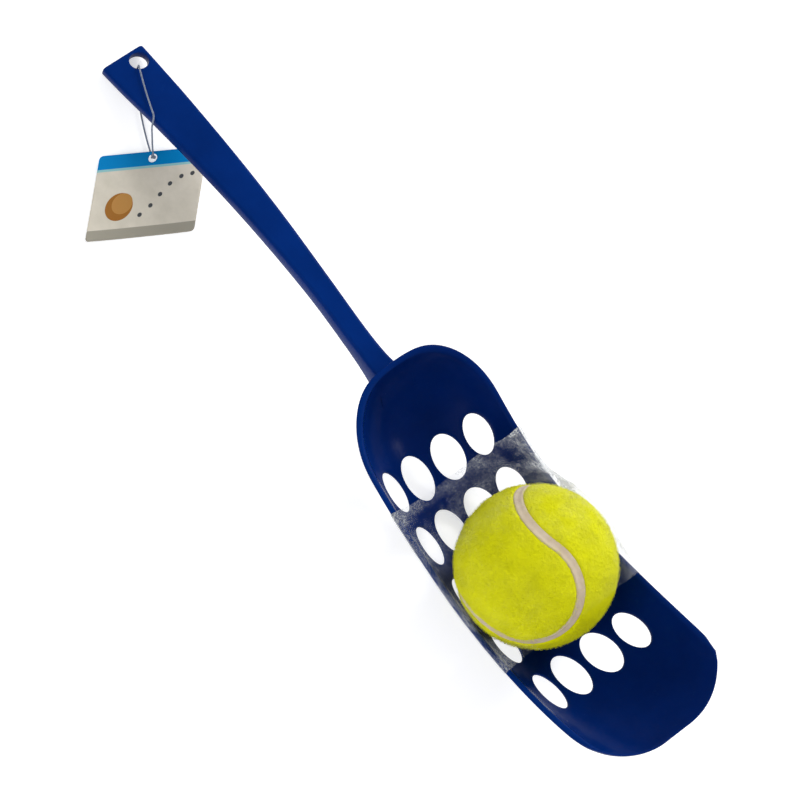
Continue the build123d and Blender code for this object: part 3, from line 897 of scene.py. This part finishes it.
TRIM_HALF = 0.5
FOOT_TO = 4.2
DOT_R = 0.9
DOTS = ((20.6, 9.0), (24.4, 12.4), (27.6, 16.6), (31.0, 20.6), (35.2, 23.2), (39.6, 24.0))


def card_outline(inset):
    """Upright rounded rectangle, once round: quarter circles at its corners and points along its sides."""
    radius = TAG_CORNER_R - inset
    half = TAG_W / 2 - TAG_CORNER_R
    tall = TAG_H - 2 * TAG_CORNER_R
    low = TAG_CORNER_R
    side = np.linspace(0, 1, SIDE_POINTS, endpoint=False)
    flat = np.ones(SIDE_POINTS)
    turn = np.linspace(0, np.pi / 2, 8, endpoint=False)
    quarter = radius * np.stack([np.cos(turn), np.sin(turn)], -1)
    right = np.stack([(half + radius) * flat, low + tall * side], -1)
    top = np.stack([half - 2 * half * side, (low + tall + radius) * flat], -1)
    left = np.stack([(-half - radius) * flat, low + tall * (1 - side)], -1)
    foot = np.stack([-half + 2 * half * side, (low - radius) * flat], -1)
    corners = [quarter + (half, low + tall), quarter[:, ::-1] * (-1, 1) + (-half, low + tall)]
    corners += [-quarter + (-half, low), quarter[:, ::-1] * (1, -1) + (half, low)]
    return np.concatenate([right, corners[0], top, corners[1], left, corners[2], foot, corners[3]])


def card_hole(inset):
    """Circle of the punched hole, grown by inset."""
    turn = np.linspace(0, 2 * np.pi, 40, endpoint=False)
    return TAG_HOLE + (TAG_HOLE_R + inset) * np.stack([np.cos(turn), np.sin(turn)], -1)


def card_place(flat, height):
    """From the upright rectangle to the leaning card on its plane, bowed by a sine from foot to head, with
    its two foot corners curled up by the cube of the distance from the middle."""
    side, up = flat.T
    curl = 0.9 * np.clip(np.abs(side) / (TAG_W / 2), 0, 1) ** 3 * np.clip(1 - up / 30, 0, 1)
    curl = curl + 0.25 * np.sin(np.pi * up / TAG_H)
    on_plane = TAG_FOOT + np.outer(side + TAG_LEAN * up, TAG_ACROSS) + np.outer(up, TAG_UP)
    return on_plane + np.outer(height + curl, TAG_FACE)


def make_card():
    """Closed shell of the card: its outline, hole and a grid between, triangulated, on both faces, joined by
    rounded edges."""
    columns = np.arange(-TAG_W / 2 + 1, TAG_W / 2 - 0.5, CARD_STEP)
    u, v = np.meshgrid(columns, np.arange(1.0, TAG_H - 0.5, CARD_STEP))
    spread = np.stack([u.ravel(), v.ravel()], -1)
    spread = spread[np.linalg.norm(spread - TAG_HOLE, axis=1) > TAG_HOLE_R + 0.6]
    flat = [card_outline(CARD_ROUND), card_hole(CARD_ROUND)]
    faces = triangulated(flat, spread)
    flat = np.concatenate(flat + [spread])
    edges = [card_place(edge, TAG_T / 2) for edge in (card_outline(0.0), card_hole(0.0))]
    return wall_between(card_place(flat, TAG_T), card_place(flat, 0.0), edges, faces, faces, 3)


def print_map(piece):
    """UV map of the print: shares of the card's width and height, by each point's place on its own axes."""
    place = np.empty(len(piece.data.vertices) * 3)
    piece.data.vertices.foreach_get("co", place)
    place = place.reshape(-1, 3) * 1000 - TAG_FOOT
    up = place @ TAG_UP
    printed = np.column_stack([(place @ TAG_ACROSS - TAG_LEAN * up) / TAG_W + 0.5, up / TAG_H])
    corner = np.empty(len(piece.data.loops), int)
    piece.data.loops.foreach_get("vertex_index", corner)
    piece.data.uv_layers.new(name="print").data.foreach_set("uv", printed[corner].ravel())


def disc_mask(tree, across, up, middle, radius):
    """1 inside a disc on the card: by the distance in mm from its middle."""
    dx = reckoned(tree, reckoned(tree, across, "SUBTRACT", middle[0]), "POWER", 2.0)
    dy = reckoned(tree, reckoned(tree, up, "SUBTRACT", middle[1]), "POWER", 2.0)
    return reckoned(tree, reckoned(tree, dx, "ADD", dy), "LESS_THAN", radius * radius)


points, faces = make_card()
card = new_piece("tag_print", points, faces, solid=True)
print_map(card)
card_stock, tree, shader = new_material("printed_card")
shader.inputs["Specular IOR Level"].default_value = 0.08
layer = tree.nodes.new("ShaderNodeUVMap")
layer.uv_map = "print"
apart = tree.nodes.new("ShaderNodeSeparateXYZ")
tree.links.new(layer.outputs["UV"], apart.inputs["Vector"])
across = reckoned(tree, apart.outputs["X"], "MULTIPLY", TAG_W)
up = reckoned(tree, apart.outputs["Y"], "MULTIPLY", TAG_H)
paper = patchy(tree, 150.0, (0.66, 0.61, 0.505), (0.75, 0.695, 0.585))
ink = blended(tree, reckoned(tree, up, "GREATER_THAN", HEAD_FROM), paper, (0.001, 0.23, 0.57))
# A band of darker warm grey along the card's foot.
ink = blended(tree, reckoned(tree, up, "LESS_THAN", FOOT_TO), ink, (0.37, 0.345, 0.28))
from_trim = reckoned(tree, reckoned(tree, up, "SUBTRACT", TRIM_AT), "ABSOLUTE", 0.0)
ink = blended(tree, reckoned(tree, from_trim, "LESS_THAN", TRIM_HALF), ink, (0.30, 0.58, 0.60))
spots = [((11.5, 13.0), 5.6, (0.36, 0.15, 0.03)), ((12.6, 14.2), 4.2, (0.50, 0.25, 0.07))]
spots += [(dot, DOT_R, (0.07, 0.075, 0.08)) for dot in DOTS]
for middle, radius, colour in spots:
    ink = blended(tree, disc_mask(tree, across, up, middle, radius), ink, colour)
dressed(tree, shader, ink, (90.0, 0.3, 0.5), (700.0, 0.1, 0.0003))
card.data.materials.append(card_stock)
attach(card, "tag")
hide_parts("tag_card")

# Thread. One length of limp twisted thread, 0.7 mm thick: from its knot on the card over the handle's edge,
# down through the hanging hole and back below the handle to the card's hole.
THREAD_R = 0.35
KNOT_SIZE = 0.28
KNOT_R = 0.3
THREAD_ROUTE = np.array(
    [
        (-132.29, -14.21, 3.22),
        (-135.29, -13.01, 6.02),
        (-138.13, -11.88, 10.45),
        (-140.64, -10.89, 14.05),
        (-142.95, -8.43, 16.8),
        (-146.58, -6.85, 15.0),
        (-151.61, -4.6, 13.05),
        (-156.63, -2.3, 11.4),
        (-161.39, 0.0, 9.9),
        (-164.6, 1.6, 9.1),
        (-165.8, 2.25, 8.6),
        (-165.85, 2.3, 7.2),
        (-165.8, 2.25, 1.3),
        (-165.76, 2.22, 0.42),
        (-164.4, 1.39, 0.42),
        (-158.41, -2.27, 0.5),
        (-150.55, -6.57, 0.5),
        (-142.07, -10.44, 0.5),
        (-134.04, -13.55, 0.5),
        (-132.29, -14.21, 2.62),
    ]
)
line = bpy.data.curves.new("tag_cord", "CURVE")
line.dimensions = "3D"
spline = line.splines.new("NURBS")
spline.points.add(len(THREAD_ROUTE) - 1)
spline.points.foreach_set("co", np.column_stack([THREAD_ROUTE * 0.001, np.ones(len(THREAD_ROUTE))]).ravel())
spline.order_u = 3
spline.use_endpoint_u = True
spline.resolution_u = 10
line.bevel_depth = THREAD_R * 0.001
line.bevel_resolution = 3
line.use_fill_caps = True
thread = bpy.data.objects.new("tag_cord", line)
bpy.context.collection.objects.link(thread)


def knot_mesh():
    """Small knot at the route's start: a round tube along a trefoil, whose point at angle t lies at
    sin t + 2 sin 2t, cos t - 2 cos 2t and -1.1 sin 3t."""
    turn = np.linspace(0, 2 * np.pi, 120, endpoint=False)
    x = np.sin(turn) + 2 * np.sin(2 * turn)
    y = np.cos(turn) - 2 * np.cos(2 * turn)
    path = KNOT_SIZE * np.stack([x, y, -1.1 * np.sin(3 * turn)], -1)
    ahead = np.roll(path, -1, 0) - np.roll(path, 1, 0)
    ahead /= np.linalg.norm(ahead, axis=1)[:, None]
    aside = np.cross(ahead, (0.0, 0.0, 1.0))
    aside /= np.linalg.norm(aside, axis=1)[:, None]
    over = np.cross(aside, ahead)
    ring = np.linspace(0, 2 * np.pi, 10, endpoint=False)[:, None, None]
    tube = THREAD_ROUTE[0] + path + KNOT_R * (np.cos(ring) * aside + np.sin(ring) * over)
    ids = numbered(*tube.shape[:2])
    return tube.reshape(-1, 3), [quads_of(np.vstack([ids, ids[:1]]), closed=True)]


points, faces = knot_mesh()
knot = new_piece("tag_knot", points, faces, solid=True)
thread_yarn, tree, shader = new_material("thread_yarn")
shader.inputs["Sheen Weight"].default_value = 0.2
grey = patchy(tree, 1400.0, (0.14, 0.17, 0.24), (0.26, 0.30, 0.38))
dressed(tree, shader, grey, (800.0, 0.6, 0.85), (2200.0, 0.5, 0.0003))
for piece in (thread, knot):
    piece.data.materials.append(thread_yarn)
    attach(piece, "tag")
    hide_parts("tag_thread")

# Studio. A white table under the object, a soft lamp on either side of it, a small one that draws gloss,
# and a dim room that is brightest at the horizon. What the camera sees past the object is white.
TABLE_GLOW = 0.55


def seen_mask(tree):
    """1 for rays from the camera, direct, mirrored or through clear matter; 0 for light on the object."""
    rays = tree.nodes.new("ShaderNodeLightPath")
    seen = reckoned(tree, rays.outputs["Is Camera Ray"], "MAXIMUM", rays.outputs["Is Glossy Ray"])
    return reckoned(tree, seen, "MAXIMUM", rays.outputs["Is Transmission Ray"])


bpy.ops.mesh.primitive_plane_add(size=6.0, location=(0.0, 0.0, -0.0002))
table = bpy.context.object
table.name = "table"
paper_white, tree, shader = new_material("table_white")
shader.inputs["Base Color"].default_value = (0.85, 0.85, 0.85, 1.0)
shader.inputs["Roughness"].default_value = 0.9
shader.inputs["Specular IOR Level"].default_value = 0.0
shader.inputs["Emission Color"].default_value = (1.0, 1.0, 1.0, 1.0)
glow = reckoned(tree, seen_mask(tree), "MULTIPLY", TABLE_GLOW)
tree.links.new(glow, shader.inputs["Emission Strength"])
table.data.materials.append(paper_white)

world = bpy.data.worlds.new("studio_room")
bpy.context.scene.world = world
world.use_nodes = True
tree = world.node_tree
heading = tree.nodes.new("ShaderNodeTexCoord")
parts = tree.nodes.new("ShaderNodeSeparateXYZ")
tree.links.new(heading.outputs["Generated"], parts.inputs["Vector"])
high = tree.nodes.new("ShaderNodeMapRange")
high.inputs["From Min"].default_value = 0.0
high.inputs["From Max"].default_value = 0.9
tree.links.new(parts.outputs["Z"], high.inputs["Value"])
room = blended(tree, high.outputs["Result"], (0.62, 0.63, 0.65), (0.30, 0.305, 0.315))
room = blended(tree, seen_mask(tree), room, (1.0, 1.0, 1.0))
tree.links.new(room, tree.nodes["Background"].inputs["Color"])


def soft_lamp(name, place, aim, size, power):
    """Square area lamp at place that faces aim."""
    lamp = bpy.data.lights.new(name, "AREA")
    lamp.size = size
    lamp.energy = power
    holder = bpy.data.objects.new(name, lamp)
    bpy.context.collection.objects.link(holder)
    toward = np.array(place) - np.array(aim)
    flat = np.hypot(toward[0], toward[1])
    holder.location = place
    holder.rotation_euler = (0.0, np.arctan2(flat, toward[2]), np.arctan2(toward[1], toward[0]))


soft_lamp("key_lamp", (0.3, -1.15, 0.95), (0.0, 0.0, 0.0), 1.3, 10.0)
soft_lamp("side_lamp", (-0.3, 1.1, 0.75), (0.0, 0.0, 0.0), 0.8, 11.8)
soft_lamp("gloss_lamp", (0.62, 0.85, 0.5), (0.05, 0.0, 0.0), 0.15, 1.9)

lens = bpy.data.cameras.new("photo_camera")
lens.lens = 144.863
lens.sensor_width = 36.0
lens.clip_start = 0.05
lens.clip_end = 20.0
camera = bpy.data.objects.new("photo_camera", lens)
camera.location = (0.12088, -0.42983, 1.20038)
camera.rotation_euler = (0.28516, -0.22557, 0.9121)
bpy.context.collection.objects.link(camera)
bpy.context.scene.camera = camera
bpy.context.scene.view_settings.view_transform = "Standard"
